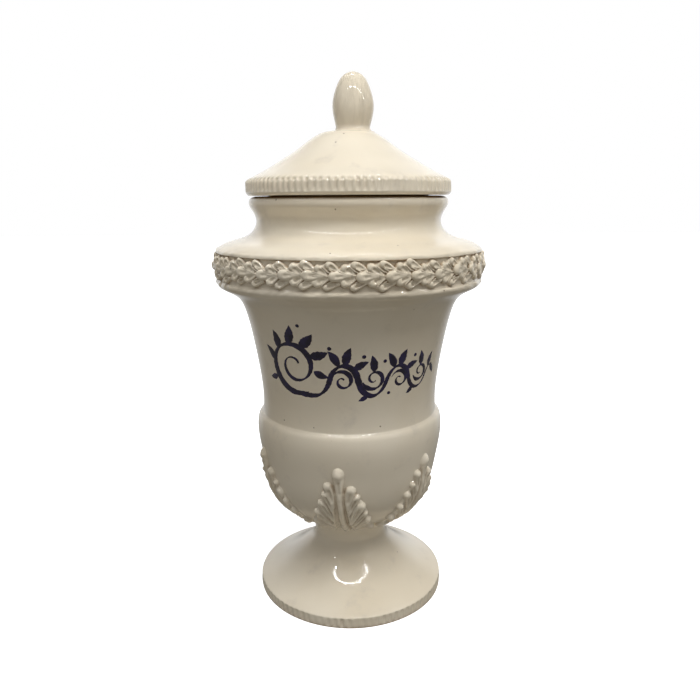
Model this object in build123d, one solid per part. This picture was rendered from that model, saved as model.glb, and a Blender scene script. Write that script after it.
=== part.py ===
from build123d import *
import math
import os

# Glazed earthenware apothecary jar on a pedestal foot, with a lift-off lid.
# Millimetres, +Z up. The origin is the centre of the foot's resting ring, on the table.

# ---- heights ----
RIM_EDGE_HEIGHT = 5.4      # top of the foot's milled edge
WAIST_HEIGHT = 33.5        # foot meets bowl
FLOOR_HEIGHT = 60.0        # top of the bowl's thick floor
CREASE_HEIGHT = 112.5      # bowl meets tapered wall
COLLAR_HEIGHT = 185.2      # tapered wall meets shoulder collar
BELT_BOTTOM = 188.4        # lower lip of the belt begins
BELT_TOP = 206.9           # upper lip of the belt ends
BELT_LIP = 1.9             # height of each lip
NECK_BOTTOM = 217.0        # straight inside of the neck begins
ROLL_HEIGHT = 231.2        # widest part of the rolled rim
MOUTH_HEIGHT = 234.7       # top of the rolled rim
LID_HEIGHT = 235.0         # underside of the lid
LID_HOLLOW_BOTTOM = 245.0  # hollow of the lid turns inwards
LID_HOLLOW_TOP = 263.2
LID_CROWN = 268.8          # flat on top of the lid, under the knob
TOP = 300.0                # tip of the knob

# ---- radii ----
FOOT_R = 56.0
FOOT_INNER_R = 50.0
WAIST_R = 21.4
CREASE_R = 51.2
COLLAR_R = 70.7
BELT_R = 74.6              # lips of the belt
BELT_FACE_R = 73.5         # sunk face that carries the leaves
MOUTH_R = 46.0             # inside of the neck
RIM_R = 55.3               # widest part of the rolled rim
LID_R = 56.7
FLANGE_R = 44.6            # outside of the locating flange, loose in the mouth
FLANGE_INNER_R = 40.5
FLANGE_DEPTH = 10.0
CROWN_R = 12.2             # flat on top of the lid
KNOB_BASE_R = 9.6
KNOB_R = 11.2
KNOB_RUN_OUT = 2.4         # the knob was set on by hand, this far off the axis
WALL = 5.5                 # usual wall thickness

# ---- milled edges ----
LID_GROOVES = 99
FOOT_GROOVES = 89
GROOVE_TOOL_R = 1.3
GROOVE_DEPTH = 0.7
LID_PLAIN_LIP = 2.2        # smooth strip under the lid's grooves
LID_EDGE_HEIGHT = 6.2      # height of the lid's upright edge
FOOT_PLAIN_LIP = 1.0

# ---- relief ----
BELT_LEAVES = 36
BELT_LEAF_PROUD = 2.0      # leaf face beyond the belt's sunk face
BELT_LEAF_TURN = 3.0       # degrees from +X to the first leaf
ACANTHUS_LEAVES = 6
ACANTHUS_PROUD = 1.8
ACANTHUS_BOTTOM = 46.0
ACANTHUS_TOP = 94.0
ACANTHUS_FIRST = -98.0     # degrees, the leaf nearest the front

os.makedirs("parts", exist_ok=True)


def turned(*curves):
    """Solid of revolution about Z. The curves join into one closed (radius, height) outline."""
    outline = make_face(Curve() + list(curves))
    return revolve(Plane.XZ * outline, Axis.Z)


def wall(outer, inner):
    """Turned wall between two smooth lines, joined straight across at both ends."""
    return turned(
        Spline(*outer),
        Line(outer[-1], inner[-1]),
        Spline(*inner),
        Line(inner[0], outer[0]),
    )


def solid_inside(outer):
    """Everything between a smooth outer line and the axis."""
    low = (0, outer[0][1])
    high = (0, outer[-1][1])
    return turned(Spline(*outer), Line(outer[-1], high), Line(high, low), Line(low, outer[0]))


def milled(shape, edge_radius, bottom, top, grooves):
    """Press evenly spaced upright grooves into a round edge."""
    tool_place = edge_radius + GROOVE_TOOL_R - GROOVE_DEPTH
    tool = extrude(Circle(GROOVE_TOOL_R), top - bottom)
    tools = [place * tool for place in PolarLocations(tool_place, grooves)]
    return shape - Pos(0, 0, bottom) * Part(children=tools)


# ---- smooth lines of the vessel, as (radius, height) ----
FOOT_FLARE = [
    (FOOT_R - 2.2, RIM_EDGE_HEIGHT + 1.4),
    (46, 10.9),
    (36.3, 17.2),
    (28, 23.8),
    (22.9, 29.0),
    (WAIST_R, WAIST_HEIGHT),
]
FOOT_HOLLOW = [(FOOT_INNER_R, 0), (40.5, 7.6), (30, 15.0), (20, 22.5), (9, 27.6), (0, 28.6)]

BOWL_OUTSIDE = [
    (WAIST_R, WAIST_HEIGHT),
    (23.0, 39.8),
    (31.7, 48.8),
    (42.0, 58.2),
    (48.8, 70.5),
    (52.3, 86.0),
    (54.5, 100.0),
    (54.0, 108.2),
    (CREASE_R, CREASE_HEIGHT),
]
BOWL_INSIDE = [
    (0, 49.0),
    (15, 50.4),
    (28.5, 55.6),
    (38.5, 65.0),
    (44.0, 76.0),
    (46.9, 88.0),
    (48.4, 99.0),
    (CREASE_R - WALL, CREASE_HEIGHT),
]

WALL_OUTSIDE = [
    (CREASE_R, CREASE_HEIGHT),
    (50.9, 119.0),
    (52.1, 135.5),
    (55.1, 154.4),
    (58.9, 171.5),
    (62.6, 179.6),
    (COLLAR_R, COLLAR_HEIGHT),
]
WALL_INSIDE = [
    (CREASE_R - WALL, CREASE_HEIGHT),
    (45.4, 119.0),
    (46.6, 136.0),
    (49.5, 155.5),
    (53.3, 173.3),
    (56.5, 180.5),
    (61.7, COLLAR_HEIGHT),
]

SHOULDER = [
    (BELT_R - 0.5, BELT_TOP),
    (70.3, 209.3),
    (62.0, 212.0),
    (54.6, 215.3),
    (51.6, 221.6),
    (53.3, 226.8),
    (RIM_R, ROLL_HEIGHT),
]
COLLAR_INSIDE = [
    (61.7, COLLAR_HEIGHT),
    (67.6, 191.0),
    (68.4, 198.5),
    (64.5, 204.8),
    (54.0, 208.8),
    (MOUTH_R, NECK_BOTTOM),
]


def pedestal_foot():
    edge = Line((FOOT_INNER_R, 0), (FOOT_R, 0))
    upright = Line((FOOT_R, 0), (FOOT_R, RIM_EDGE_HEIGHT))
    shoulder = Line((FOOT_R, RIM_EDGE_HEIGHT), FOOT_FLARE[0])
    seat = Line((WAIST_R, WAIST_HEIGHT), (0, WAIST_HEIGHT))
    axis = Line((0, WAIST_HEIGHT), FOOT_HOLLOW[-1])
    blank = turned(edge, upright, shoulder, Spline(*FOOT_FLARE), seat, axis, Spline(*FOOT_HOLLOW))
    return milled(blank, FOOT_R, FOOT_PLAIN_LIP, RIM_EDGE_HEIGHT + 2, FOOT_GROOVES)


def bowl():
    base = Line((WAIST_R, WAIST_HEIGHT), (0, WAIST_HEIGHT))
    axis = Line((0, WAIST_HEIGHT), BOWL_INSIDE[0])
    top = Line(BOWL_OUTSIDE[-1], BOWL_INSIDE[-1])
    return turned(base, axis, Spline(*BOWL_INSIDE), top, Spline(*BOWL_OUTSIDE))


def cut_level(shape, height):
    """The parts of a shape below and above a level."""
    level = Plane.XY.offset(height)
    return split(shape, bisect_by=level, keep=Keep.BOTTOM), split(shape, bisect_by=level)


def shoulder_and_neck():
    lower_lip_top = BELT_BOTTOM + BELT_LIP
    upper_lip_bottom = BELT_TOP - BELT_LIP / 2
    belt = Polyline(
        (COLLAR_R, COLLAR_HEIGHT),
        (BELT_R - 1.2, COLLAR_HEIGHT + 1.5),
        (BELT_R, BELT_BOTTOM),
        (BELT_R, lower_lip_top),
        (BELT_FACE_R, lower_lip_top),
        (BELT_FACE_R, upper_lip_bottom),
        (BELT_R, upper_lip_bottom),
        SHOULDER[0],
    )
    crown_outer = (RIM_R - 3.2, MOUTH_HEIGHT)
    crown_inner = (MOUTH_R + 1.2, MOUTH_HEIGHT)
    crown_middle = (RIM_R - 0.8, MOUTH_HEIGHT - 1.1)
    roll = Spline(SHOULDER[-1], crown_middle, crown_outer, tangents=[(0, 1), (-1, 0)])
    mouth = Polyline(crown_outer, crown_inner, (MOUTH_R, MOUTH_HEIGHT - 1.2), COLLAR_INSIDE[-1])
    base = Line(COLLAR_INSIDE[0], (COLLAR_R, COLLAR_HEIGHT))
    return turned(belt, Spline(*SHOULDER), roll, mouth, Spline(*COLLAR_INSIDE), base)


def lid_cover():
    edge_bottom = (LID_R, LID_HEIGHT + LID_PLAIN_LIP - 0.8)
    edge_top = (LID_R, LID_HEIGHT + LID_EDGE_HEIGHT)
    crown_edge = (15.5, 267.9)
    cone = Spline(
        edge_top,
        (54.6, 244.2),
        (48.6, 247.2),
        (37.6, 253.5),
        (27.4, 259.9),
        (19.3, 265.7),
        crown_edge,
    )
    hollow_top = (0, LID_HOLLOW_TOP)
    hollow_bottom = (FLANGE_INNER_R, LID_HOLLOW_BOTTOM)
    crown = Polyline(crown_edge, (CROWN_R, LID_CROWN), (0, LID_CROWN), hollow_top)
    hollow = Spline(hollow_top, (14.5, 261.0), (27.2, 253.4), hollow_bottom)
    under = Polyline(
        hollow_bottom,
        (FLANGE_INNER_R, LID_HEIGHT),
        (LID_R - 1.2, LID_HEIGHT),
        edge_bottom,
        edge_top,
    )
    blank = turned(cone, crown, hollow, under)
    grooves_top = LID_HEIGHT + LID_EDGE_HEIGHT + 1.5
    return milled(blank, LID_R, LID_HEIGHT + LID_PLAIN_LIP, grooves_top, LID_GROOVES)


def lid_flange():
    ring = Circle(FLANGE_R) - Circle(FLANGE_INNER_R)
    flange = Pos(0, 0, LID_HEIGHT - FLANGE_DEPTH) * extrude(ring, FLANGE_DEPTH)
    lower_edge = flange.edges().group_by(Axis.Z)[0]
    return fillet(lower_edge, 1.4)


def finial():
    egg = Spline(
        (KNOB_BASE_R, LID_CROWN),
        (9.9, 273.4),
        (KNOB_R, 282.0),
        (9.3, 292.2),
        (5.2, 298.0),
        (0, TOP),
        tangents=[(0, 1), (-1, 0)],
    )
    axis = Line((0, TOP), (0, LID_CROWN))
    base = Line((0, LID_CROWN), (KNOB_BASE_R, LID_CROWN))
    return Pos(KNOB_RUN_OUT, 0, 0) * turned(egg, axis, base)


def lobe(base, tip, width):
    """One lobe of a flat leaf outline: an oval from its base point to its tip."""
    length = math.dist(base, tip)
    turn = math.degrees(math.atan2(tip[1] - base[1], tip[0] - base[0]))
    middle = ((base[0] + tip[0]) / 2, (base[1] + tip[1]) / 2)
    return Pos(*middle) * Rot(0, 0, turn) * Ellipse(length / 2, width / 2)


def belt_leaf_outline():
    """Palmate sprig seen from outside, with its tip to the left and the stalk at the origin."""
    outline = lobe((1.5, 0), (-8.0, 0.3), 3.4)
    for side in (1, -1):
        outline += lobe((1.0, side * 0.6), (-5.2, side * 5.0), 3.6)
        outline += lobe((0.2, side * 1.0), (0.2, side * 7.2), 5.2)
    return outline


def belt_leaf():
    """Sprig on the +X side of the belt, its back lying on the sunk face."""
    middle_height = (BELT_BOTTOM + BELT_TOP) / 2 + 0.5
    shell_height = 15.2
    shell = Circle(BELT_FACE_R + BELT_LEAF_PROUD) - Circle(BELT_FACE_R)
    band = Pos(0, 0, middle_height - shell_height / 2) * extrude(shell, shell_height)
    facing_out = Plane(origin=(BELT_FACE_R - 4, 0, middle_height), x_dir=(0, 1, 0), z_dir=(1, 0, 0))
    cutter = extrude(facing_out * belt_leaf_outline(), 8)
    return band & cutter


def acanthus_outline():
    """Long leaf seen from outside, standing on its stalk at the origin."""
    height = ACANTHUS_TOP - ACANTHUS_BOTTOM
    outline = Pos(0, height - 3.2) * Circle(3.2)
    outline += lobe((0, 0), (0, height), 11.0)
    for share, reach, thickness in ((0.10, 12.5, 8.5), (0.28, 15.5, 9.0), (0.47, 13.0, 8.5), (0.66, 9.0, 7.0)):
        for side in (1, -1):
            outline += lobe((0, share * height - 2), (side * reach, share * height + 5.5), thickness)
    return outline


def acanthus_leaf():
    """Leaf on the +X side of the bowl, its back lying on the bowl."""
    outside = [(radius + ACANTHUS_PROUD, height) for radius, height in BOWL_OUTSIDE]
    skin = solid_inside(outside) - solid_inside(BOWL_OUTSIDE)
    facing_out = Plane(origin=(15, 0, ACANTHUS_BOTTOM), x_dir=(0, 1, 0), z_dir=(1, 0, 0))
    cutter = extrude(facing_out * acanthus_outline(), 50)
    return skin & cutter


bowl_base, bowl_side = cut_level(bowl(), FLOOR_HEIGHT)
shoulder, neck = cut_level(shoulder_and_neck(), NECK_BOTTOM)
pieces = {
    "pedestal_foot": pedestal_foot(),
    "bowl_base": bowl_base,
    "bowl": bowl_side,
    "body_wall": wall(WALL_OUTSIDE, WALL_INSIDE),
    "shoulder_collar": shoulder,
    "neck_rim": neck,
    "lid_cover": lid_cover(),
    "lid_flange": lid_flange(),
    "finial": finial(),
}
first_belt_leaf = belt_leaf()
for count in range(BELT_LEAVES):
    turn = BELT_LEAF_TURN + count * 360 / BELT_LEAVES
    pieces[f"belt_leaf_{count + 1:02d}"] = Rot(0, 0, turn) * first_belt_leaf
first_acanthus_leaf = acanthus_leaf()
for count in range(ACANTHUS_LEAVES):
    turn = ACANTHUS_FIRST + count * 360 / ACANTHUS_LEAVES
    pieces[f"acanthus_leaf_{count + 1}"] = Rot(0, 0, turn) * first_acanthus_leaf

for name, shape in pieces.items():
    export_step(shape, f"parts/{name}.step")
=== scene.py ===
import math

import bpy
import numpy as np
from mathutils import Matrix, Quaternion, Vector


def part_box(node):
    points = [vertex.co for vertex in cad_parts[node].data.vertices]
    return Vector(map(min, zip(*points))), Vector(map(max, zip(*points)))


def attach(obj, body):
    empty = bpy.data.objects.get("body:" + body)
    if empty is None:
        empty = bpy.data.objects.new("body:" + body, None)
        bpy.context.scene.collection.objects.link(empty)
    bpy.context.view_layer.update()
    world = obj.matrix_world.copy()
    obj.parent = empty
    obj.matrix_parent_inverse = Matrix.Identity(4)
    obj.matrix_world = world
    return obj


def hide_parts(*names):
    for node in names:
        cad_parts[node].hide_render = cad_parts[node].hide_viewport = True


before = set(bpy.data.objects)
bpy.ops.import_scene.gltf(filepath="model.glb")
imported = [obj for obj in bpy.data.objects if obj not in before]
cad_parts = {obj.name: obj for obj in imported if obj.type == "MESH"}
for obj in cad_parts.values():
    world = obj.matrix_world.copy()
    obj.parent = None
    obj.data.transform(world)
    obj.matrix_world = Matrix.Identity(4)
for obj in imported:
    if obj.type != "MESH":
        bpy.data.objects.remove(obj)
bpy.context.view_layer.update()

MM = 0.001
TAU = 2 * math.pi

# ---------------------------------------------------------------- places from the frame, in mm


def top_of(node):
    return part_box(node)[1][2] / MM


def bottom_of(node):
    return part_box(node)[0][2] / MM


def radius_of(node):
    low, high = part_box(node)
    return (high[1] - low[1]) / 2 / MM


WAIST = top_of("pedestal_foot")
CREASE = top_of("bowl")
COLLAR = top_of("body_wall")
LID_UNDER = bottom_of("lid_cover")
CROWN = top_of("lid_cover")
KNOB_TIP = top_of("finial")
FLANGE_LOW = bottom_of("lid_flange")
FOOT_R = radius_of("pedestal_foot")
LID_R = radius_of("lid_cover")
FLANGE_R = radius_of("lid_flange")
BELT_R = radius_of("shoulder_collar")
COLLAR_R = radius_of("body_wall")
KNOB_X = (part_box("finial")[0][0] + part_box("finial")[1][0]) / 2 / MM

# ---------------------------------------------------------------- outlines, (radius, height) in mm

# corners where one turned piece meets the next
WAIST_SEAM = (21.4, WAIST)
CREASE_SEAM = (51.2, CREASE)
CREASE_SEAM_IN = (45.7, CREASE)
COLLAR_SEAM = (COLLAR_R, COLLAR)
COLLAR_SEAM_IN = (61.7, COLLAR)
MOUTH_CORNER = (46, 217)
FLANGE_IN = 40.5           # inner radius of the flange, and of the lid's hollow at its foot
KNOB_SEAT_R = 12.2         # the lid's crown is flat out to here, under the knob's fillet

FOOT_FLARE = [(53.8, 7.4), (46, 11.0), (36.3, 17.2), (28, 23.8), (22.9, 29.0), WAIST_SEAM]
FOOT_HOLLOW = [(0, 28.6), (9, 27.6), (20, 22.5), (30, 15.0), (40.5, 7.6), (50, 0)]
BOWL_OUTSIDE = [
    WAIST_SEAM, (23.0, 39.8), (31.7, 48.8), (42.0, 58.2), (48.8, 70.5),
    (52.3, 86.0), (54.5, 100.0), (54.3, 108.0), (53.2, 111.0), CREASE_SEAM,
]
BOWL_INSIDE = [
    CREASE_SEAM_IN, (48.4, 99.0), (46.9, 88.0), (44.0, 76.0),
    (38.5, 65.0), (28.5, 55.6), (15, 50.4), (0, 49.0),
]
WALL_OUTSIDE = [
    CREASE_SEAM, (50.9, 119.0), (52.1, 135.5), (55.1, 154.4),
    (58.9, 171.5), (62.6, 179.6), COLLAR_SEAM,
]
WALL_INSIDE = [
    COLLAR_SEAM_IN, (56.5, 180.5), (53.3, 173.3), (49.5, 155.5),
    (46.6, 136.0), (45.4, 119.0), CREASE_SEAM_IN,
]
SHOULDER = [
    (74.1, 206.9), (70.3, 209.3), (62.0, 212.0), (54.6, 215.3),
    (51.6, 221.6), (53.3, 226.8), (55.3, 231.2), (54.5, 233.6), (52.1, 234.7),
]
COLLAR_INSIDE = [
    MOUTH_CORNER, (54.0, 208.8), (64.5, 204.8), (68.4, 198.5), (67.6, 191.0), COLLAR_SEAM_IN,
]
LID_CONE = [
    (55.3, 243.7), (53.2, 244.9), (48.6, 247.2), (37.6, 253.5), (27.4, 259.9), (19.3, 265.7),
    (15.5, 267.9),
]
LID_HOLLOW = [(0, 263.2), (14.5, 261.0), (27.2, 253.4), (FLANGE_IN, 245.0)]
KNOB = [(9.3, CROWN + 2.8), (11.05, 281.6), (8.8, 292.0), (4.6, 298.2), (0, KNOB_TIP)]
KNOB_ASIDE = 0.4           # the knob sits this much further to the right than in the CAD

# ---------------------------------------------------------------- relief, in mm and degrees

BELT_FACE_R = 73.5         # the belt's sunk face
BELT_LOW, BELT_HIGH = 191.2, 205.2
BELT_MIDDLE = 198.2
LIP_LOW, LIP_HIGH = 189.3, 206.6   # middles of the lips below and above the belt
LIP_HALF = 1.6
BELT_LEAVES = 36
BELT_FIRST = 3.0
ACANTHUS_LEAVES = 6
ACANTHUS_FIRST = -98.0
LID_GROOVES = 99
FOOT_GROOVES = 89
SUNK_EDGE = -0.2           # a relief piece ends this far under the wall's surface
SUNK_BACK = -0.7           # and its back lies this far under it
GROUND = -0.3              # height of a relief map where there is no clay
FAR_UNDER = -2.0           # a lobe or rib falls no further than this outside its edge


# ================================================================ curves and numbers


def spline(points, spacing):
    """Natural cubic spline through points, sampled about every `spacing`."""
    points = np.array(points, float)
    chord = np.hypot(*np.diff(points, axis=0).T)
    knots = np.concatenate([[0], np.cumsum(chord)])
    count = len(points)
    system = np.eye(count)
    right = np.zeros((count, points.shape[1]))
    for i in range(1, count - 1):
        before, after = chord[i - 1], chord[i]
        system[i, i - 1:i + 2] = before, 2 * (before + after), after
        right[i] = 6 * ((points[i + 1] - points[i]) / after - (points[i] - points[i - 1]) / before)
    bend = np.linalg.solve(system, right)
    at = np.linspace(0, knots[-1], max(3, int(round(knots[-1] / spacing)) + 1))
    i = np.clip(np.searchsorted(knots, at, side="right") - 1, 0, count - 2)
    length = chord[i][:, None]
    left = (knots[i + 1] - at)[:, None]
    done = (at - knots[i])[:, None]
    return (
        (bend[i] * left ** 3 + bend[i + 1] * done ** 3) / (6 * length)
        + (points[i] / length - bend[i] * length / 6) * left
        + (points[i + 1] / length - bend[i + 1] * length / 6) * done
    )


def straight(points, spacing):
    """Polyline sampled about every `spacing`, keeping its corners."""
    out = [np.array(points[0], float)]
    for start, end in zip(points, points[1:]):
        start, end = np.array(start, float), np.array(end, float)
        steps = max(1, int(round(np.linalg.norm(end - start) / spacing)))
        out += [start + (end - start) * k / steps for k in range(1, steps + 1)]
    return np.array(out)


def join(*runs):
    """Chain runs end to end without repeating the shared points."""
    out = [runs[0]]
    for run in runs[1:]:
        out.append(run[1:] if np.allclose(run[0], out[-1][-1], atol=1e-6) else run)
    return np.concatenate(out)


def soften(line, closed, reach):
    """Round the corners of an evenly sampled line, as a coat of glaze does."""
    size = int(reach * 3)
    weights = np.exp(-0.5 * (np.arange(-size, size + 1) / reach) ** 2)
    weights /= weights.sum()
    if closed:
        padded = np.concatenate([line[-size:], line, line[:size]])
    else:
        before = 2 * line[0] - line[size:0:-1]
        after = 2 * line[-1] - line[-2:-size - 2:-1]
        padded = np.concatenate([before, line, after])
    return np.stack([np.convolve(padded[:, k], weights, "valid") for k in range(2)], axis=1)


def thin_out(line, coarse, turn):
    """Keep a point once the line has bent by `turn` radians or run `coarse` mm since the last."""
    keep = [0]
    step = np.diff(line, axis=0)
    heading = np.unwrap(np.arctan2(step[:, 1], step[:, 0]))
    for i in range(1, len(line) - 1):
        run = np.linalg.norm(line[i] - line[keep[-1]])
        if abs(heading[i] - heading[keep[-1]]) > turn or run > coarse:
            keep.append(i)
    keep.append(len(line) - 1)
    return line[keep]


def ramp(value, low, high):
    """Smooth step from 0 at low to 1 at high."""
    t = np.clip((value - low) / (high - low), 0, 1)
    return t * t * (3 - 2 * t)


def waves(seed, count, low, high):
    """A smooth random field over space: a sum of sines with wavelengths from low to high mm."""
    rng = np.random.default_rng(seed)
    directions = rng.normal(size=(count, 3))
    directions /= np.linalg.norm(directions, axis=1)[:, None]
    lengths = low * (high / low) ** rng.random(count)
    phases = rng.random(count) * TAU
    heights = (lengths / high) ** 0.6

    def field(points):
        total = np.zeros(points.shape[:-1])
        for direction, length, phase, height in zip(directions, lengths, phases, heights):
            total += height * np.sin(points @ direction * TAU / length + phase)
        return total / math.sqrt((heights ** 2).sum() / 2 + 1e-9)

    return field


hand_thrown = waves(11, 9, 60, 240)
throwing_marks = waves(23, 10, 14, 40)
NEAR_AXIS = 12             # mm, inside this radius the clay's wander fades out


def wander(points):
    """How far the clay stands off the true turned surface, in mm, at points in mm."""
    return 0.16 * hand_thrown(points) + 0.02 * throwing_marks(points)


def settle(points):
    """Move points in mm off the true surface of revolution, as the hand-made jar does."""
    x, y, z = points[..., 0], points[..., 1], points[..., 2]
    radius = np.hypot(x, y)
    fade = np.minimum(radius, NEAR_AXIS)
    scale = 1 + wander(points) * fade / NEAR_AXIS / np.maximum(radius, 1e-3)
    return np.stack([x * scale, y * scale, z], axis=-1)


# ================================================================ meshes


def around(angle, radius, height):
    """Points in mm from angle, radius and height arrays."""
    return np.stack([radius * np.cos(angle), radius * np.sin(angle), height + 0 * angle], axis=-1)


def mesh_object(name, points, faces, body, material):
    """Make a piece from points in mm and quads or triangles, and let it ride on a body."""
    mesh = bpy.data.meshes.new(name)
    if isinstance(faces, list):
        sizes = np.array([len(face) for face in faces])
        flat = np.concatenate(faces)
    else:
        sizes = np.full(len(faces), faces.shape[1])
        flat = faces.ravel()
    starts = np.concatenate([[0], np.cumsum(sizes)[:-1]])
    mesh.vertices.add(len(points))
    mesh.vertices.foreach_set("co", (points * MM).astype(np.float32).ravel())
    mesh.loops.add(len(flat))
    mesh.loops.foreach_set("vertex_index", flat.astype(np.int32))
    mesh.polygons.add(len(sizes))
    mesh.polygons.foreach_set("loop_start", starts.astype(np.int32))
    mesh.polygons.foreach_set("use_smooth", np.ones(len(sizes), bool))
    mesh.update(calc_edges=True)
    mesh.validate()
    mesh.materials.append(material)
    piece = bpy.data.objects.new(name, mesh)
    bpy.context.scene.collection.objects.link(piece)
    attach(piece, body)
    return piece


def turned_faces(rows, segments, closed, low_pole, high_pole):
    """Faces of a lathe mesh whose points are rows of `segments`, then any poles."""
    ring = np.arange(segments)
    after = np.roll(ring, -1)
    quads = []
    for row in range(rows if closed else rows - 1):
        low = row * segments
        high = (row + 1) % rows * segments
        quads.append(np.stack([low + ring, low + after, high + after, high + ring], axis=1))
    faces = list(np.concatenate(quads))
    pole = rows * segments
    if low_pole:
        faces += [np.array([pole, after[k], ring[k]]) for k in range(segments)]
        pole += 1
    if high_pole:
        last = (rows - 1) * segments
        faces += [np.array([pole, last + ring[k], last + after[k]]) for k in range(segments)]
    return faces


def turned(name, outline, segments, stands_for, relief=None, body="jar", aside=0.0):
    """Lathe an outline (radius, height). One that starts or ends on the axis gets a pole there.

    relief(angle, radius, height) gives (outwards, upwards) shifts in mm. aside is how far to the
    right of the jar's axis the piece's own axis is.
    """
    low_pole = outline[0, 0] < 1e-6
    high_pole = outline[-1, 0] < 1e-6
    closed = not (low_pole or high_pole)
    rows = outline[1 if low_pole else 0: len(outline) - (1 if high_pole else 0)]
    angle = np.arange(segments) * TAU / segments
    radius = np.repeat(rows[:, :1], segments, axis=1)
    height = np.repeat(rows[:, 1:], segments, axis=1)
    if relief:
        out, up = relief(angle[None, :], radius, height)
        radius, height = radius + out, height + up
    points = around(angle[None, :], radius, height).reshape(-1, 3)
    ends = ((outline[0], low_pole), (outline[-1], high_pole))
    poles = [[0, 0, end[1]] for end, used in ends if used]
    points = settle(np.concatenate([points, np.array(poles).reshape(-1, 3)]))
    points[:, 0] += aside
    faces = turned_faces(len(rows), segments, closed, low_pole, high_pole)
    piece = mesh_object(name, points, faces, body, glaze)
    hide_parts(*stands_for)
    return piece


def heightfield(name, across, along, raised, place, body, stands_for):
    """A closed relief piece. raised is its height in mm over the grid.

    What lies under the wall is cut away, and the piece's back is sunk into the wall behind it.
    place(across, along, height) gives points in mm.
    """
    cell = (raised[:-1, :-1] + raised[1:, :-1] + raised[:-1, 1:] + raised[1:, 1:]) / 4 > SUNK_EDGE
    grid_a, grid_b = np.meshgrid(across, along, indexing="ij")
    front = place(grid_a, grid_b, raised).reshape(-1, 3)
    back = place(grid_a, grid_b, np.full_like(raised, SUNK_BACK)).reshape(-1, 3)
    index = np.arange(grid_a.size).reshape(grid_a.shape)
    a, b, c, d = index[:-1, :-1], index[1:, :-1], index[1:, 1:], index[:-1, 1:]
    behind = grid_a.size
    faces = [np.stack([a[cell], b[cell], c[cell], d[cell]], axis=1)]
    faces.append(np.stack([d[cell], c[cell], b[cell], a[cell]], axis=1) + behind)
    padded = np.pad(cell, 1)
    sides = (
        (padded[1:-1, :-2], a, b),
        (padded[2:, 1:-1], b, c),
        (padded[1:-1, 2:], c, d),
        (padded[:-2, 1:-1], d, a),
    )
    for neighbour, start, end in sides:
        rim = cell & ~neighbour
        low, high = start[rim], end[rim]
        faces.append(np.stack([high, low, low + behind, high + behind], axis=1))
    used, faces = np.unique(np.concatenate(faces), return_inverse=True)
    points = settle(np.concatenate([front, back])[used])
    piece = mesh_object(name, points, faces.reshape(-1, 4), body, glaze)
    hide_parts(stands_for)
    return piece


def bezier(start, middle, end, count):
    t = np.linspace(0, 1, count)[:, None]
    start, middle, end = (np.array(p, float) for p in (start, middle, end))
    return (1 - t) ** 2 * start + 2 * t * (1 - t) * middle + t ** 2 * end


def near_segment(start, end, x, y):
    """Distance to a segment, and how far along it that is, from 0 to 1."""
    run = end - start
    t = np.clip(((x - start[0]) * run[0] + (y - start[1]) * run[1]) / (run @ run), 0, 1)
    return np.hypot(x - start[0] - t * run[0], y - start[1] - t * run[1]), t


def near_path(path, widths, x, y):
    """Distance to a path over its local half width, and how far along it that is, from 0 to 1."""
    best = np.full(x.shape, 1e9)
    along = np.zeros(x.shape)
    steps = len(path) - 1
    for k in range(steps):
        gap, t = near_segment(path[k], path[k + 1], x, y)
        share = gap / (widths[k] + (widths[k + 1] - widths[k]) * t)
        nearer = share < best
        best = np.where(nearer, share, best)
        along = np.where(nearer, (k + t) / steps, along)
    return best, along


def spoon(x, y, start, middle, end, half_width, height, hollow):
    """Height of one lobe: a teardrop that widens from its root, with a rim round a hollow slit."""
    path = bezier(start, middle, end, 9)
    widths = half_width * (0.6 + 0.4 * ramp(np.linspace(0, 1, 9), 0.0, 0.9))
    share, along = near_path(path, widths, x, y)
    body = height * (0.82 + 0.18 * along) * (1 - share ** 3.6)
    slit = hollow * np.exp(-(share / 0.36) ** 2) * ramp(along, 0.15, 0.5)
    return np.maximum(body - slit * (1 - ramp(along, 0.76, 0.98)), FAR_UNDER)


def rib(x, y, path, half_widths, height):
    """Height of a rounded rib that follows a path."""
    share = near_path(np.array(path, float), np.array(half_widths, float), x, y)[0]
    return np.maximum(height * (1 - share ** 2), FAR_UNDER)


def slab(x, y, corners, height):
    """Height of a flat slab with soft edges, inside a polygon of corners."""
    corners = np.array(corners, float)
    inside = np.zeros(x.shape, bool)
    gap = np.full(x.shape, 1e9)
    for start, end in zip(corners, np.roll(corners, -1, axis=0)):
        gap = np.minimum(gap, near_segment(start, end, x, y)[0])
        run = end - start
        crosses = (start[1] > y) != (end[1] > y)
        rise = run[1] if run[1] else 1e-9
        inside ^= crosses & (x < start[0] + (y - start[1]) * run[0] / rise)
    return height * ramp(np.where(inside, gap, -gap), -0.5, 0.8) + GROUND


def blend_up(heights, softness):
    """Smooth maximum of several height maps."""
    stacked = np.stack(heights)
    top = stacked.max(axis=0)
    return top + softness * np.log(np.exp((stacked - top) / softness).sum(axis=0))


# ================================================================ materials


def srgb(red, green, blue):
    """Linear colour from 0 to 255 display values."""
    values = np.array([red, green, blue]) / 255
    linear = np.where(values > 0.04045, ((values + 0.055) / 1.055) ** 2.4, values / 12.92)
    return (*linear.tolist(), 1.0)


def add(tree, kind, inputs=None, **settings):
    """Add a node. Each input is a value or a socket to link."""
    made = tree.nodes.new(kind)
    for key, value in settings.items():
        setattr(made, key, value)
    for key, value in (inputs or {}).items():
        if isinstance(value, bpy.types.NodeSocket):
            tree.links.new(value, made.inputs[key])
        else:
            made.inputs[key].default_value = value
    return made


def mix(tree, factor, under, over):
    """Colour mix; the result socket."""
    return add(tree, "ShaderNodeMix", {0: factor, 6: under, 7: over}, data_type="RGBA").outputs[2]


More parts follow.
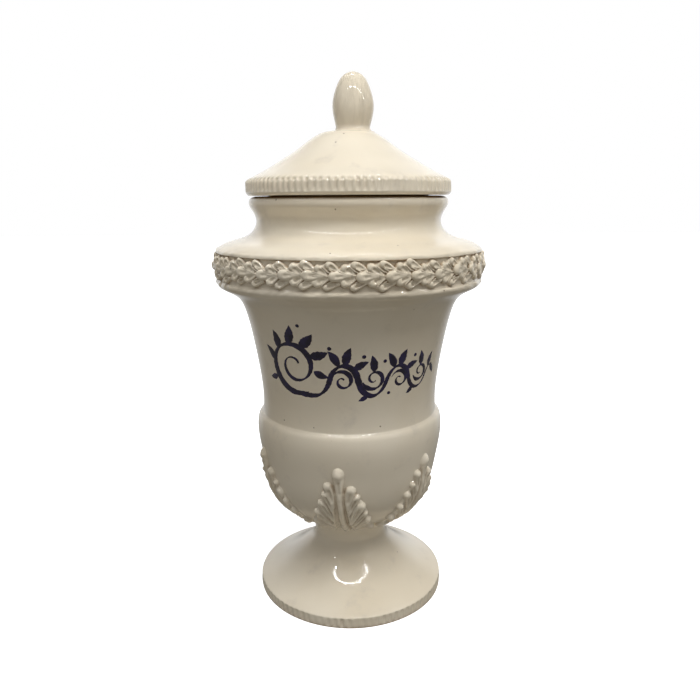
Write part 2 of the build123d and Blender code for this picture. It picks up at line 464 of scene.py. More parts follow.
def spread(tree, value, low, high, to_low=0.0, to_high=1.0):
    """Map low..high to to_low..to_high, clamped; the result socket."""
    inputs = {"Value": value, "From Min": low, "From Max": high, "To Min": to_low, "To Max": to_high}
    return add(tree, "ShaderNodeMapRange", inputs, interpolation_type="SMOOTHSTEP").outputs[0]


def attribute(tree, name):
    """A value that `mark` gave the piece; the result socket."""
    return add(tree, "ShaderNodeAttribute", attribute_name=name).outputs["Fac"]


def bumps(tree, height, strength, distance, under=None, invert=False):
    """Bump from a height socket, over another bump; the result socket."""
    inputs = {"Height": height, "Strength": strength, "Distance": distance}
    if under:
        inputs["Normal"] = under
    return add(tree, "ShaderNodeBump", inputs, invert=invert).outputs[0]


def noise(tree, at, scale, detail=2.0, roughness=0.5):
    inputs = {"Vector": at, "Scale": scale, "Detail": detail, "Roughness": roughness}
    return add(tree, "ShaderNodeTexNoise", inputs).outputs["Fac"]


def times(tree, a, b):
    return add(tree, "ShaderNodeMath", {0: a, 1: b}, operation="MULTIPLY").outputs[0]


def stretched(tree, at, x, y, z):
    inputs = {"Vector": at, "Scale": (x, y, z)}
    return add(tree, "ShaderNodeMapping", inputs).outputs[0]


def new_material(name):
    material = bpy.data.materials.new(name)
    material.use_nodes = True
    tree = material.node_tree
    tree.nodes.clear()
    at = add(tree, "ShaderNodeTexCoord").outputs["Object"]
    return material, tree, at


def finish_material(tree, colour, roughness, bump):
    inputs = {"Base Color": colour, "Roughness": roughness, "Normal": bump, "IOR": 1.6}
    surface = add(tree, "ShaderNodeBsdfPrincipled", inputs)
    add(tree, "ShaderNodeOutputMaterial", {"Surface": surface.outputs[0]})


IVORY, IVORY_DEEP = srgb(241, 231, 211), srgb(232, 220, 197)
SMUDGE_GREY = srgb(206, 196, 182)
STREAK_GREY = srgb(188, 178, 160)
# brown of glaze pooled in the hollows, also used as painted shade there
POOLED_GLAZE_AND_SHADE_BROWN = srgb(146, 114, 74)
PINHOLE_BROWN = srgb(112, 84, 58)
CLAY, CLAY_DEEP = srgb(216, 190, 158), srgb(198, 168, 134)
NAVY, NAVY_THIN = srgb(22, 17, 46), srgb(40, 33, 78)
BLEED_PURPLE = srgb(112, 78, 84)
POOLING_AND_SHADE_REACH = 0.0042     # m, glaze pools and painted shade darkens the hollows where other clay is nearer than this


def cream_glaze():
    """Glossy ivory tin glaze: clouded, pooled brown in the hollows that also paints in the shade
    falling there, with pinholes and smudges.
    """
    material, tree, at = new_material("cream_glaze")
    clouds = spread(tree, noise(tree, at, 16, 3), 0.35, 0.68)
    colour = mix(tree, clouds, IVORY, IVORY_DEEP)
    smudges = spread(tree, noise(tree, at, 70, 5, 0.6), 0.56, 0.78, 0.0, 0.4)
    colour = mix(tree, smudges, colour, SMUDGE_GREY)
    streaks = noise(tree, stretched(tree, at, 260, 260, 24), 1, 3)
    streaks = spread(tree, streaks, 0.45, 0.75, 0.0, 0.3)
    colour = mix(tree, times(tree, attribute(tree, "streaked"), streaks), colour, STREAK_GREY)
    # painted shade and pooled glaze: the more a spot is shut in by nearby clay, the browner it is
    # painted
    pooling_and_shade = add(tree, "ShaderNodeAmbientOcclusion", {"Distance": POOLING_AND_SHADE_REACH}, samples=8)
    colour = mix(tree, spread(tree, pooling_and_shade.outputs["AO"], 0.9, 0.25), colour, POOLED_GLAZE_AND_SHADE_BROWN)
    cells = add(tree, "ShaderNodeTexVoronoi", {"Vector": at, "Scale": 170.0})
    speck = spread(tree, cells.outputs["Distance"], 0.10, 0.05)
    rare = spread(tree, cells.outputs["Color"], 0.79, 0.8)
    pinholes = times(tree, speck, rare)
    colour = mix(tree, times(tree, pinholes, 0.7), colour, PINHOLE_BROWN)
    bare = attribute(tree, "bare")
    colour = mix(tree, bare, colour, mix(tree, noise(tree, at, 900, 3), CLAY, CLAY_DEEP))
    gloss = spread(tree, noise(tree, at, 40, 4), 0.3, 0.75, 0.03, 0.08)
    matt = add(tree, "ShaderNodeMath", {0: bare, 1: 0.6, 2: gloss}, operation="MULTIPLY_ADD")
    peel = bumps(tree, noise(tree, at, 330, 2), 0.2, 0.0001)
    turning = noise(tree, stretched(tree, at, 9, 9, 150), 1, 2)
    rings = bumps(tree, turning, 0.5, 0.0001, peel)
    pits = bumps(tree, pinholes, 0.6, 0.0002, rings, invert=True)
    finish_material(tree, colour, matt.outputs[0], pits)
    return material


def cobalt_brushwork():
    """Navy painted under the glaze, thin and purplish where the brush's edge ran out."""
    material, tree, at = new_material("cobalt_brushwork")
    body = mix(tree, spread(tree, noise(tree, at, 240, 4), 0.35, 0.7), NAVY, NAVY_THIN)
    patchy = spread(tree, noise(tree, at, 420, 3), 0.35, 0.65, 0.35, 1.0)
    bleed = times(tree, spread(tree, attribute(tree, "edge"), 0.55, 1.0), patchy)
    colour = mix(tree, bleed, body, BLEED_PURPLE)
    gloss = spread(tree, noise(tree, at, 60, 3), 0.3, 0.7, 0.09, 0.2)
    finish_material(tree, colour, gloss, bumps(tree, noise(tree, at, 500, 3), 0.3, 0.0001))
    return material


glaze = cream_glaze()
paint = cobalt_brushwork()


# ================================================================ turned pieces


def milling(angle, count, seed):
    """Depth, from 0 to 1, of upright grooves pressed round an edge one by one."""
    rng = np.random.default_rng(seed)
    depth = rng.uniform(0.7, 1.1, count)
    shift = rng.uniform(-0.07, 0.07, count)
    turn = angle / TAU * count
    groove = np.floor(turn).astype(int) % count
    phase = turn - np.floor(turn) - 0.5 + shift[groove]
    return depth[groove] * np.exp(-((phase / 0.27) ** 4))


def bell(angle, centre, half_width):
    """1 at an angle in degrees, falling to 0 about half_width degrees either side."""
    away = (np.degrees(angle) - centre + 180) % 360 - 180
    return np.exp(-((away / half_width) ** 2) * 2)


def nearest(line, place):
    return int(np.argmin(np.hypot(line[:, 0] - place[0], line[:, 1] - place[1])))


OVERLAP = 5                # rows that a piece goes on past its seam
TUCK = 0.35                # mm that its last row lies under the neighbour's skin


def stretch_of(line, low_end, high_end):
    """Rows of a shared line between two places, each end carried on under the neighbour's skin."""
    slope = np.gradient(line, axis=0)
    normal = np.stack([slope[:, 1], -slope[:, 0]], axis=1) / np.linalg.norm(slope, axis=1)[:, None]
    first = 0 if low_end is None else nearest(line, low_end)
    last = len(line) - 1 if high_end is None else nearest(line, high_end)
    start = max(0, first - OVERLAP)
    end = min(len(line) - 1, last + OVERLAP)
    rows = np.arange(start, end + 1)
    past = np.maximum(first - rows, 0) + np.maximum(rows - last, 0)
    return line[rows] - normal[rows] * (TUCK * (past / OVERLAP) ** 2)[:, None]


FINE = 0.25                # mm between points of an outline before it is thinned out
outside = join(
    spline(FOOT_FLARE, FINE),
    spline(BOWL_OUTSIDE, FINE),
    spline(WALL_OUTSIDE, FINE),
    straight([COLLAR_SEAM, (73.4, 186.7), (BELT_R, 188.4), (BELT_R, BELT_LOW - 1.2)], FINE),
    straight([(BELT_R, BELT_LOW - 1.2), (BELT_FACE_R, BELT_LOW), (BELT_FACE_R, BELT_HIGH)], FINE),
    straight([(BELT_FACE_R, BELT_HIGH), (BELT_R, BELT_HIGH), SHOULDER[0]], FINE),
    spline(SHOULDER, FINE),
    straight([SHOULDER[-1], (47.2, 234.7), (46, 233.5), MOUTH_CORNER], FINE),
)
inside = join(spline(COLLAR_INSIDE, FINE), spline(WALL_INSIDE, FINE), spline(BOWL_INSIDE, FINE))
outside, inside = (thin_out(soften(line, False, 2.0), 1.6, 0.085) for line in (outside, inside))


def uneven(seed, low, high):
    """Small random unevenness with wavelengths from low to high mm, as a relief's function."""
    field = waves(seed, 12, low, high)
    return lambda angle, radius, height: field(around(angle, radius, height))


lumps = uneven(31, 3.5, 9)
dents = uneven(37, 9, 30)


def foot_relief(angle, radius, height):
    """Milled edge on the side face, and a slight warp: the rim is higher on the right."""
    on_edge = ramp(radius, 52.6, 54.6) * ramp(height, 0.7, 1.8) * (1 - ramp(height, 5.0, 6.6))
    worn = 0.75 + 0.25 * dents(angle, radius, height)
    warp = ramp(radius, 30, 52) * ramp(height, 2, 6)
    out = -0.7 * milling(angle, FOOT_GROOVES, 5) * worn + 0.05 * lumps(angle, radius, height)
    return out * on_edge, 0.4 * np.cos(angle) * warp


def collar_relief(angle, radius, height):
    """Uneven lips above and below the belt, as fingers leave them."""
    on_lips = ramp(radius, 72.5, 73.6)
    lower = np.exp(-(((height - LIP_LOW) / LIP_HALF) ** 2)) * on_lips
    upper = np.exp(-(((height - LIP_HIGH) / LIP_HALF) ** 2)) * on_lips
    out = 0.16 * lumps(angle, radius, height) * (lower + 0.7 * upper)
    up = 0.14 * dents(angle, radius, height) * (lower + upper)
    return out, up


def lid_relief(angle, radius, height):
    """Milled edge, partly filled with glaze near the front, most of all to the right."""
    on_edge = ramp(radius, 54.9, 55.9) * ramp(height, LID_UNDER + 1.7, LID_UNDER + 2.7)
    filled = 1 - 0.72 * bell(angle, -62, 20) - 0.25 * bell(angle, -100, 14)
    cut = milling(angle, LID_GROOVES, 7) * on_edge * filled
    out = -0.95 * cut + 0.08 * lumps(angle, radius, height) * on_edge
    up = -0.75 * cut * ramp(height, LID_UNDER + 5.0, LID_UNDER + 7.4)
    return out, up


def knob_relief(angle, radius, height):
    """Soft dents that fade out towards the tip."""
    return 0.12 * dents(angle, radius, height) * (1 - ramp(height, CROWN + 2, KNOB_TIP)), 0


def heights_of(piece):
    return np.array([point.co.z for point in piece.data.vertices]) / MM


def mark(piece, name, values):
    """Give a piece a 0 to 1 value at each point, for its material to read."""
    layer = piece.data.attributes.new(name, "FLOAT", "POINT")
    layer.data.foreach_set("value", values.astype(np.float32))


foot_under = straight([(50, 0), (FOOT_R, 0), (FOOT_R, 6.3), FOOT_FLARE[0]], FINE)
foot_line = join(
    thin_out(spline(FOOT_HOLLOW, FINE), 3.0, 0.09),
    thin_out(soften(foot_under, False, 2.0), 0.9, 0.1),
    stretch_of(outside, None, WAIST_SEAM),
    np.array([(0.0, WAIST + 2)]),
)
foot = turned("thrown_foot", foot_line, FOOT_GROOVES * 10, ["pedestal_foot"], foot_relief)
mark(foot, "bare", ramp(-heights_of(foot), -0.5, -0.25))

bowl_line = join(
    np.array([(0.0, WAIST - 1.5)]),
    stretch_of(outside, WAIST_SEAM, CREASE_SEAM),
    stretch_of(inside, CREASE_SEAM_IN, None),
)
turned("thrown_bowl", bowl_line, 480, ["bowl", "bowl_base"])

wall_line = join(
    stretch_of(outside, CREASE_SEAM, COLLAR_SEAM),
    stretch_of(inside, COLLAR_SEAM_IN, CREASE_SEAM_IN),
)
turned("thrown_wall", wall_line, 480, ["body_wall"])

collar_line = join(
    stretch_of(outside, COLLAR_SEAM, None),
    stretch_of(inside, MOUTH_CORNER, COLLAR_SEAM_IN),
)
turned("thrown_collar", collar_line[:-1], 600, ["shoulder_collar", "neck_rim"], collar_relief)

lid_under = straight(
    [
        LID_HOLLOW[-1], (FLANGE_IN, LID_UNDER), (LID_R - 1.2, LID_UNDER), (LID_R, LID_UNDER + 1.4),
        (LID_R - 0.2, 242.4), LID_CONE[0],
    ],
    FINE,
)
lid_crown = straight([LID_CONE[-1], (KNOB_SEAT_R, CROWN), (0, CROWN)], FINE)
lid_over = join(spline(LID_CONE, FINE), lid_crown)
lid_line = join(
    thin_out(spline(LID_HOLLOW, FINE), 3.5, 0.09),
    thin_out(soften(join(lid_under, lid_over), False, 1.8), 1.9, 0.1),
)
lid_line[-1, 0] = 0
turned("thrown_lid", lid_line, LID_GROOVES * 10, ["lid_cover"], lid_relief, "lid")

FLANGE_TOP = LID_UNDER + 0.8
flange_line = straight(
    [
        (FLANGE_R, FLANGE_TOP), (FLANGE_IN, FLANGE_TOP), (FLANGE_IN, FLANGE_LOW),
        (FLANGE_R, FLANGE_LOW), (FLANGE_R, FLANGE_TOP),
    ],
    FINE,
)[:-1]
flange_line = thin_out(soften(flange_line, True, 2.5), 1.5, 0.1)
turned("lid_locating_ring", flange_line[::-1], 360, ["lid_flange"], body="lid")

KNOB_FILLET = [(12.0, CROWN - 0.3), (10.3, CROWN + 0.35), (9.45, CROWN + 1.6), KNOB[0]]
knob_seat = straight([(0, CROWN - 1.2), (KNOB_SEAT_R, CROWN - 1.2), KNOB_FILLET[0]], FINE)
knob_line = join(knob_seat, spline(KNOB_FILLET, FINE), spline(KNOB, FINE))
knob_line = thin_out(knob_line, 0.8, 0.08)
knob = turned("egg_knob", knob_line, 240, ["finial"], knob_relief, "lid", KNOB_X + KNOB_ASIDE)
knob_heights = heights_of(knob)
above_foot = ramp(knob_heights, CROWN + 1, CROWN + 4)
mark(knob, "streaked", above_foot * (1 - ramp(knob_heights, KNOB_TIP - 8, KNOB_TIP - 2)))


# ================================================================ belt of leaves

# root, bend, tip (mm right of and above the leaf's base), half width, height, hollow
BELT_LOBES = [
    ((-3.0, 0.3), (-6.6, 0.4), (-9.9, 0.3), 3.0, 2.0, 0.45),
    ((-0.6, 0.4), (-2.4, 2.4), (-4.9, 3.9), 2.3, 1.9, 1.1),
    ((5.0, 2.7), (2.6, 4.1), (0.2, 5.2), 2.2, 1.9, 1.35),
    ((0.2, -0.8), (-2.6, -1.4), (-5.2, -3.0), 2.3, 1.7, 1.0),
    ((5.2, -3.3), (2.2, -4.0), (-0.8, -5.2), 2.1, 1.9, 1.45),
]
BELT_STALK = [(5.6, -0.3), (1.0, 0.1), (-3.0, 0.3), (-5.6, 0.3)]
BELT_VEINS = [
    [(-1.2, 0.6), (-4.2, 1.4), (-7.2, 2.6)],
    [(2.2, 1.0), (-0.4, 2.4), (-2.6, 4.6)],
    [(1.4, -0.7), (-0.8, -2.2), (-3.2, -4.4)],
    [(3.8, -1.2), (1.8, -2.0), (-0.2, -3.2)],
    [(4.4, 0.9), (2.2, 2.2), (0.4, 3.4)],
]
BELT_OUTLINE = [
    (-12.9, 0.2), (-10.4, 2.6), (-6.8, 4.4), (-3.8, 5.4), (-1.4, 6.4), (1.0, 6.7), (5.2, 4.0),
    (6.2, 0.4), (5.6, -3.9), (1.6, -6.0), (-1.4, -7.0), (-3.2, -5.6), (-6.6, -4.6), (-7.8, -2.9),
    (-10.8, -2.5),
]
BELT_GRID = 0.29           # mm between the points of a sprig's height map
pressed = waves(41, 14, 2.5, 9)    # fine unevenness from the mould and the thumb


def belt_sprig(number):
    """One pressed clay sprig on the belt's face. Its tip lies over its left neighbour's base."""
    rng = np.random.default_rng(700 + number)
    across = np.arange(-14.4, 7.9, BELT_GRID)
    along = np.arange(-8.6, 9.3, BELT_GRID)
    x, y = np.meshgrid(across, along, indexing="ij")
    swell = rng.uniform(0.95, 1.05)
    tilt = math.radians(rng.uniform(-4, 4))
    px = (x * math.cos(tilt) + y * math.sin(tilt)) / swell
    py = (y * math.cos(tilt) - x * math.sin(tilt)) / swell
    heights = []
    for root, bend, tip, half_width, height, hollow in BELT_LOBES:
        shift = rng.uniform(-0.35, 0.35, 2)
        tip = (tip[0] + shift[0], tip[1] + shift[1])
        width = half_width * rng.uniform(0.92, 1.06)
        raise_to = height * rng.uniform(0.9, 1.1)
        heights.append(spoon(px, py, root, bend, tip, width, raise_to, hollow))
    heights.append(rib(px, py, BELT_STALK, [1.2, 1.0, 0.8, 0.5], 1.7))
    heights += [rib(px, py, vein, [0.5, 0.6, 0.5], 1.8) for vein in BELT_VEINS]
    heights.append(slab(px, py, BELT_OUTLINE, 1.25))
    heights.append(np.full_like(x, GROUND))
    raised = blend_up(heights, 0.13)
    lift = 1.05 * ramp(-px, 2, 11) + rng.uniform(-0.2, 0.3)
    raised = np.where(raised > 0, raised + lift * ramp(raised, 0.0, 0.9), raised)
    turn = BELT_FIRST + number * 360 / BELT_LEAVES + rng.uniform(-0.7, 0.7)
    level = BELT_MIDDLE + rng.uniform(-0.35, 0.35)

    def place(a, b, height):
        angle = np.radians(turn) + a / BELT_FACE_R
        on_face = around(angle, BELT_FACE_R + 0 * a, level + b)
        clay = 0.09 * pressed(on_face) * (height > SUNK_BACK)
        return around(angle, BELT_FACE_R + height + clay, level + b)

    node = f"belt_leaf_{number + 1:02d}"
    heightfield(f"belt_sprig_{number + 1:02d}", across, along, raised, place, "jar", node)


for number in range(BELT_LEAVES):
    belt_sprig(number)

# ================================================================ acanthus leaves

# root, bend, tip (mm across, mm up the bowl from its waist), half width
ACANTHUS_LOBES = [
    ((-2.7, 47), (-3.5, 55), (-5.1, 60.4), 2.6),
    ((-3.1, 42), (-5.0, 51), (-7.7, 55.2), 1.8),
    ((-3.6, 35), (-6.2, 44), (-9.6, 49.0), 2.4),
    ((-4.1, 28), (-7.6, 36.5), (-12.0, 41.6), 2.2),
    ((-4.5, 21.5), (-8.8, 28), (-13.6, 32.4), 2.4),
    ((-4.8, 18.6), (-9.0, 19.4), (-12.9, 22.4), 2.6),
    ((4.2, 46), (5.4, 53), (6.6, 58.2), 3.0),
    ((4.9, 41), (7.4, 48.6), (10.0, 53.2), 2.0),
    ((5.6, 32), (8.4, 41.5), (12.0, 47.6), 3.1),
    ((6.2, 27), (10.2, 36.4), (14.5, 42.6), 1.9),
    ((6.6, 21.5), (10.8, 29.6), (15.2, 35.2), 2.4),
    ((7.0, 18.6), (11.4, 20.2), (15.5, 24.6), 2.7),
]
ACANTHUS_MARGINS = [
    [(-4.2, 17.6), (-3.6, 25), (-3.2, 36), (-2.9, 48)],
    [(7.0, 17.6), (6.0, 25), (5.1, 36), (4.4, 48)],
]
ACANTHUS_OUTLINE = [
    (-12.4, 17.2), (-14.6, 22), (-14.6, 33), (-12.6, 43.5), (-9.8, 51), (-7.6, 57),
    (-5.2, 60), (-2.6, 56), (-0.6, 58), (1.6, 58), (3.6, 55.5), (7.0, 59), (10.2, 54.5),
    (12.9, 50.5), (15.2, 44.5), (16, 36), (16.8, 25), (15.2, 17.2),
]
ACANTHUS_MIDRIB = [
    (2.1, 19.0), (1.9, 26), (1.6, 35), (1.1, 45), (0.7, 54), (0.5, 61), (0.4, 66),
]
# path that fades out towards its end, depth as a share of the leaf's height there
ACANTHUS_GROOVES = [
    ([(0.5, 63.5), (0.5, 60.5), (0.6, 57.0), (0.7, 53.0)], 0.5),
    ([(-1.2, 17), (-1.2, 30), (-1.4, 45), (-1.7, 60)], 1.0),
    ([(5.3, 17), (4.2, 30), (3.3, 45), (2.6, 60)], 1.0),
]
ACANTHUS_GRID = 0.4        # mm between the points of a leaf's height map
bowl_skin = spline(BOWL_OUTSIDE, 0.2)
bowl_run = np.concatenate([[0], np.cumsum(np.hypot(*np.diff(bowl_skin, axis=0).T))])
bowl_slope = np.gradient(bowl_skin, axis=0)
bowl_normal = np.stack([bowl_slope[:, 1], -bowl_slope[:, 0]], axis=1)
bowl_normal /= np.linalg.norm(bowl_normal, axis=1)[:, None]


def acanthus(number):
    """One tall leaf up the bowl: ribs that end in rounded lobes, a midrib and a bud on top."""
    rng = np.random.default_rng(900 + number)
    across = np.arange(-18.4, 19.8, ACANTHUS_GRID)
    along = np.arange(12.5, 73.6, ACANTHUS_GRID)
    x, y = np.meshgrid(across, along, indexing="ij")
    heights = []
    for root, bend, tip, half_width in ACANTHUS_LOBES:
        tip = (tip[0] + rng.uniform(-0.4, 0.4), tip[1] + rng.uniform(-0.5, 0.5))
        width = half_width * rng.uniform(0.94, 1.08)
        heights.append(spoon(x, y, root, bend, tip, width, rng.uniform(2.3, 2.7), 1.5))
    heights += [rib(x, y, path, [1.3, 1.2, 1.1, 0.8], 1.9) for path in ACANTHUS_MARGINS]
    heights.append(rib(x, y, ACANTHUS_MIDRIB, [3.1, 2.8, 2.5, 2.2, 2.2, 2.7, 3.2], 2.6))
    heights.append(slab(x, y, ACANTHUS_OUTLINE, 1.1))
    bud = np.hypot(x - 0.4, (y - 67.2) / 1.35) / 3.4
    heights.append(np.maximum(3.0 * (1 - bud ** 2.2), FAR_UNDER))
    heights.append(np.full_like(x, GROUND))
    raised = blend_up(heights, 0.16)
    for path, depth in ACANTHUS_GROOVES:
        share, done = near_path(np.array(path, float), np.full(len(path), 0.75), x, y)
        cut = depth * (1 - ramp(done, 0.55, 1.0)) * np.exp(-(share ** 2))
        raised = np.where(raised > 0.3, raised + (0.3 - raised) * cut, raised)
    turn = ACANTHUS_FIRST + number * 360 / ACANTHUS_LEAVES + rng.uniform(-1, 1)

    def place(a, b, height):
        radius = np.interp(b, bowl_run, bowl_skin[:, 0])
        level = np.interp(b, bowl_run, bowl_skin[:, 1])
        angle = math.radians(turn) + a / radius
        clay = 0.12 * pressed(around(angle, radius, level)) * ramp(height, 0.0, 0.8)
        out = np.interp(b, bowl_run, bowl_normal[:, 0])
        up = np.interp(b, bowl_run, bowl_normal[:, 1])
        return around(angle, radius + out * (height + clay), level + up * (height + clay))

    node = f"acanthus_leaf_{number + 1}"
    heightfield(f"acanthus_sprig_{number + 1}", across, along, raised, place, "jar", node)


for number in range(ACANTHUS_LEAVES):
    acanthus(number)

# ================================================================ painted flourish

PAINT_LEVEL = 150.5        # mm, height of the flourish's own origin
PAINT_R = 54.0             # mm, the wall's radius there
PAINT_BACK = -0.2          # mm, how far a stroke's back lies under the wall's surface
PEN_SLANT = 32             # degrees, a line at this angle comes out thinnest
# a stroke's cross-section: share of the half width, height in mm, nearness to the edge
STROKE_SECTION = [
    (-1, -0.02, 1), (-0.75, 0.05, 0.6), (0, 0.08, 0), (0.75, 0.05, 0.6), (1, -0.02, 1),
    (1, PAINT_BACK, 1), (-1, PAINT_BACK, 1),
]
wall_skin = spline(WALL_OUTSIDE, FINE)


def on_wall(x, y, height):
    """Points on the wall from mm right of the front and mm above the flourish's origin."""
    level = PAINT_LEVEL + y
    radius = np.interp(level, wall_skin[:, 1], wall_skin[:, 0])
    return settle(around(-math.pi / 2 + x / PAINT_R, radius + height, level))


def brush(points, half_widths):
    """One brush stroke, a thin domed strip along a smooth line: its points, faces and edge values."""
    length = np.hypot(*np.diff(np.array(points, float), axis=0).T).sum()
    line = spline(points, min(0.55, length / 14))
    share = np.linspace(0, 1, len(line))
    width = np.interp(share, np.linspace(0, 1, len(half_widths)), half_widths)
    width = width * (1 + 0.06 * np.sin(line[:, 0] * 1.9 + line[:, 1] * 2.3)) + 0.03
    run = np.gradient(line, axis=0)
    side = np.stack([-run[:, 1], run[:, 0]], axis=1) / np.linalg.norm(run, axis=1)[:, None]
    count = len(line)
    rings = len(STROKE_SECTION)
    rows = []
    for across, height, _ in STROKE_SECTION:
        spot = line + side * (width * across)[:, None]
        rows.append(on_wall(spot[:, 0], spot[:, 1], np.full(count, height)))
    edge = np.repeat([nearness for _, _, nearness in STROKE_SECTION], count)
    step = np.arange(count - 1)
    faces = []
    for k in range(rings):
        low, high = k * count, (k + 1) % rings * count
        strip = [high + step, high + step + 1, low + step + 1, low + step]
        faces += list(np.stack(strip, axis=1))
    ends = np.arange(rings) * count
    faces += [ends, ends[::-1] + count - 1]
    return np.concatenate(rows), faces, edge


def curl(centre, start_radius, start_angle, sweep, count=14):
    """Points of a spiral that winds in towards its centre, angles in degrees."""
    t = np.linspace(0, 1, count)
    radius = start_radius * (1 - 0.82 * t)
    angle = np.radians(start_angle + sweep * t)
    return np.stack([centre[0] + radius * np.cos(angle), centre[1] + radius * np.sin(angle)], axis=1)


def leaf_stroke(base, direction, length, half_width, bend=0.22):
    """A pointed leaf made with one press of the brush."""
    turn = math.radians(direction)
    t = np.linspace(0, 1, 16)
    along = t * length
    off = bend * length * t * (1 - t)
    x = base[0] + along * math.cos(turn) - off * math.sin(turn)
    y = base[1] + along * math.sin(turn) + off * math.cos(turn)
    return np.stack([x, y], axis=1), 1.2 * half_width * np.sin(math.pi * t ** 0.8) ** 0.9


def pen_stroke(points, thin, thick, end=0.3):
    """A stroke of a broad pen: thick going down, thin going up, tapering to its end."""
    line = spline(points, 0.55)
    run = np.gradient(line, axis=0)
    slant = np.abs(np.sin(np.arctan2(run[:, 1], run[:, 0]) - math.radians(PEN_SLANT)))
    taper = 1 - (1 - end) * np.linspace(0, 1, len(line)) ** 2
    start = 0.2 + 0.8 * ramp(np.arange(len(line)), 0, 8)
    return line[::2], ((thin + (thick - thin) * slant) * taper * start)[::2]


def berry(centre, radius):
    """A round dot of paint, as a very short stroke."""
    x, y = centre
    line = [(x - radius, y), (x, y + 0.01), (x + radius, y)]
    return line, radius * np.sqrt(1 - np.linspace(-1, 1, 15) ** 2)


# mm right of the front and mm above the flourish's origin
STEM = [
    (-30, -17.2), (-23.5, -17.2), (-17, -16.6), (-11.5, -11), (-8.5, -3.5), (-3, 0), (2.5, -3),
    (5, -9.5), (8.5, -15.5), (13.5, -17), (18.5, -13), (21.5, -6), (26.5, -1.5), (32, -4),
    (34.5, -10), (38.5, -15), (43.5, -15), (47.5, -10.5), (50.5, -5.5), (54.5, -5),
]
STROKES = [
    pen_stroke(curl((-30, -1.5), 15.8, -62, -640, 24), 0.7, 2.3),
    leaf_stroke((-42.6, -1.0), 128, 10.5, 2.1, -0.3),
    leaf_stroke((-39.2, 6.4), 100, 10.5, 2.3, -0.3),
    leaf_stroke((-33.2, 10.0), 72, 11.0, 2.4, -0.3),
    leaf_stroke((-26.2, 9.2), 42, 11.0, 2.4, -0.3),
    leaf_stroke((-20.8, 4.6), 14, 10.5, 2.2, -0.3),
    leaf_stroke((-18.8, -3.6), -20, 8.5, 1.8, -0.3),
    leaf_stroke((-43.6, -9.0), 196, 7.0, 1.5, 0.3),
    pen_stroke(STEM, 0.7, 2.15, 0.4),
    pen_stroke(curl((-3.6, -8.6), 6.2, 165, -480, 16), 0.5, 1.6),
    pen_stroke(curl((13.2, -7.6), 6.4, 195, 480, 16), 0.5, 1.6),
    pen_stroke(curl((28.2, -9.2), 5.4, 160, -480, 16), 0.45, 1.5),
    pen_stroke(curl((42.6, -6.8), 5.4, 200, 480, 16), 0.45, 1.4),
    leaf_stroke((-5.5, -0.6), 122, 10.0, 2.0, -0.25),
    leaf_stroke((-2.0, -0.2), 74, 10.5, 2.1, 0.25),
    leaf_stroke((2.2, -2.6), 30, 9.0, 1.8, 0.25),
    leaf_stroke((12.8, -4.0), 98, 9.5, 1.9, -0.25),
    leaf_stroke((24.4, -2.4), 116, 9.5, 1.9, -0.25),
    leaf_stroke((27.8, -1.8), 70, 9.5, 2.0, 0.25),
    leaf_stroke((32.0, -4.0), 24, 8.0, 1.6, 0.25),
    leaf_stroke((42.4, -3.6), 98, 8.5, 1.8, -0.25),
    leaf_stroke((50.0, -5.8), 76, 8.5, 1.7, 0.25),
    leaf_stroke((52.0, -5.2), -48, 7.5, 1.5, 0.25),
    leaf_stroke((10.0, -16.6), -150, 6.0, 1.2, 0.2),
    leaf_stroke((38.0, -14.8), -142, 5.5, 1.2, 0.2),
    berry((7.4, 4.8), 1.1),
    berry((18.6, 1.8), 1.0),
    berry((37.0, 3.0), 1.0),
    berry((-9.8, 9.2), 1.1),
    berry((-12.2, 6.6), 0.9),
    berry((-25.0, 20.6), 1.0),
    berry((22.0, -16.2), 1.0),
]


def flourish():
    """All the brushwork, as one painted piece on the wall."""
    points, faces, edges = [], [], []
    start = 0
    for line, half_widths in STROKES:
        stroke_points, stroke_faces, edge = brush(line, half_widths)
        points.append(stroke_points)
        faces += [face + start for face in stroke_faces]
        edges.append(edge)
        start += len(stroke_points)
    points = np.concatenate(points)
    piece = mesh_object("cobalt_flourish", points, faces, "jar", paint)
    mark(piece, "edge", np.concatenate(edges))


flourish()

# ================================================================ stage, light and camera


BOARD_WHITE = 0.86
BOARD_GLOW = 0.9
BOARD_HALF = 4.0           # m
LED_STEPS = 61             # half spacings between the small lights, per metre of strip
FRONT_GREY = (0.30, 0.293, 0.281, 1)
ABOVE_GREY = (0.25, 0.25, 0.25, 1)
BELOW_GREY = (0.20, 0.188, 0.165, 1)
WHITE = (1.0, 1.0, 1.0, 1)
CAMERA_AT = (0.0004, -0.3725, 0.2330)
LENS_MM, SENSOR_MM = 33.33, 36
LOOK_DOWN, CAMERA_ROLL = 13.1, -0.33     # degrees


def white_board():
    """Matt white with a little light of its own, so that it photographs as plain white."""
    material = bpy.data.materials.new("white_board")
    material.use_nodes = True
    tree = material.node_tree
    at = add(tree, "ShaderNodeTexCoord").outputs["Object"]
    surface = tree.nodes["Principled BSDF"]
    white = (BOARD_WHITE, BOARD_WHITE, BOARD_WHITE, 1)
    duller = (BOARD_WHITE * 0.985, BOARD_WHITE * 0.985, BOARD_WHITE * 0.985, 1)
    tree.links.new(mix(tree, noise(tree, at, 30, 3), white, duller), surface.inputs["Base Color"])
    surface.inputs["Roughness"].default_value = 0.6
    surface.inputs["Emission Color"].default_value = WHITE
    surface.inputs["Emission Strength"].default_value = BOARD_GLOW
    return material


def floor():
    mesh = bpy.data.meshes.new("floor")
    side = BOARD_HALF
    corners = [(-side, -side, 0), (side, -side, 0), (side, side, 0), (-side, side, 0)]
    mesh.from_pydata(corners, [], [(0, 1, 2, 3)])
    mesh.materials.append(white_board())
    board = bpy.data.objects.new("floor", mesh)
    bpy.context.scene.collection.objects.link(board)
    board.visible_diffuse = False
    board.visible_glossy = False


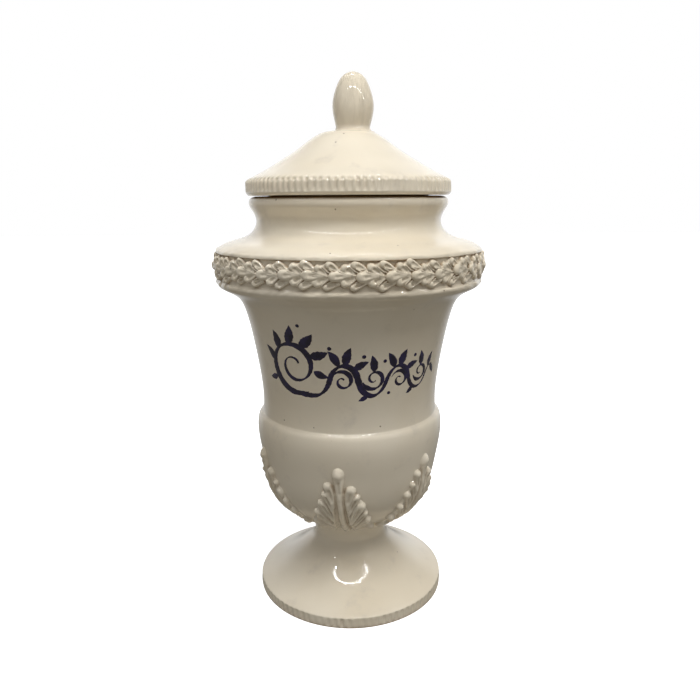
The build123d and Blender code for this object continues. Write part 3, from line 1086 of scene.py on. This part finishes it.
def area_light(name, place, turn, size, power, mirrored=True):
    """A rectangular light. One that is not mirrored lights the glaze without being seen in it."""
    light = bpy.data.lights.new(name, "AREA")
    light.shape = "RECTANGLE"
    light.size, light.size_y = size
    light.energy = power
    lamp = bpy.data.objects.new(name, light)
    lamp.location = place
    lamp.rotation_euler = turn
    lamp.visible_glossy = mirrored
    bpy.context.scene.collection.objects.link(lamp)
    return light


def led_strip(name, place, length, power):
    """A row of small lights over the jar, as in a photo box."""
    light = area_light(name, place, (0, 0, 0), (length, 0.005), power)
    light.use_nodes = True
    tree = light.node_tree
    along = add(tree, "ShaderNodeNewGeometry").outputs["Parametric"]
    along = add(tree, "ShaderNodeSeparateXYZ", {0: along}).outputs[0]
    dots = times(tree, along, length * LED_STEPS)
    wave = add(tree, "ShaderNodeMath", {0: dots, 1: 1.0}, operation="PINGPONG").outputs[0]
    lit = spread(tree, wave, 0.45, 0.6, 0.3, 1.7)
    tree.links.new(lit, tree.nodes["Emission"].inputs["Strength"])


def surroundings():
    """White behind the jar, grey in front and above, and a warmer, darker grey below."""
    world = bpy.data.worlds.new("photo_box")
    bpy.context.scene.world = world
    world.use_nodes = True
    tree = world.node_tree
    toward = add(tree, "ShaderNodeTexCoord").outputs["Generated"]
    parts = add(tree, "ShaderNodeSeparateXYZ", {0: toward})
    back = spread(tree, parts.outputs[1], 0.55, 0.82)
    shade = mix(tree, back, FRONT_GREY, WHITE)
    above = spread(tree, parts.outputs[2], 0.3, 0.8)
    shade = mix(tree, above, shade, ABOVE_GREY)
    below = spread(tree, parts.outputs[2], -0.05, -0.5)
    shade = mix(tree, below, shade, BELOW_GREY)
    tree.links.new(shade, tree.nodes["Background"].inputs["Color"])


def camera():
    lens = bpy.data.cameras.new("camera")
    lens.lens = LENS_MM
    lens.sensor_width = SENSOR_MM
    eye = bpy.data.objects.new("camera", lens)
    eye.rotation_mode = "QUATERNION"
    tilt = Quaternion((1, 0, 0), math.radians(90 - LOOK_DOWN))
    roll = Quaternion((0, 0, 1), math.radians(CAMERA_ROLL))
    eye.rotation_quaternion = tilt @ roll
    eye.location = CAMERA_AT
    bpy.context.scene.collection.objects.link(eye)
    bpy.context.scene.camera = eye


floor()
led_strip("front_strip", (0.085, -0.15, 0.455), 0.75, 0.42)
led_strip("top_strip", (0.01, 0.03, 0.49), 0.19, 0.09)
SOFT_BOX_TURN = (math.radians(25), 0, math.radians(31))
area_light("soft_box", (0.5, -0.85, 2.3), SOFT_BOX_TURN, (1.8, 1.4), 33.5, mirrored=False)
surroundings()
camera()
bpy.context.scene.view_settings.view_transform = "Standard"
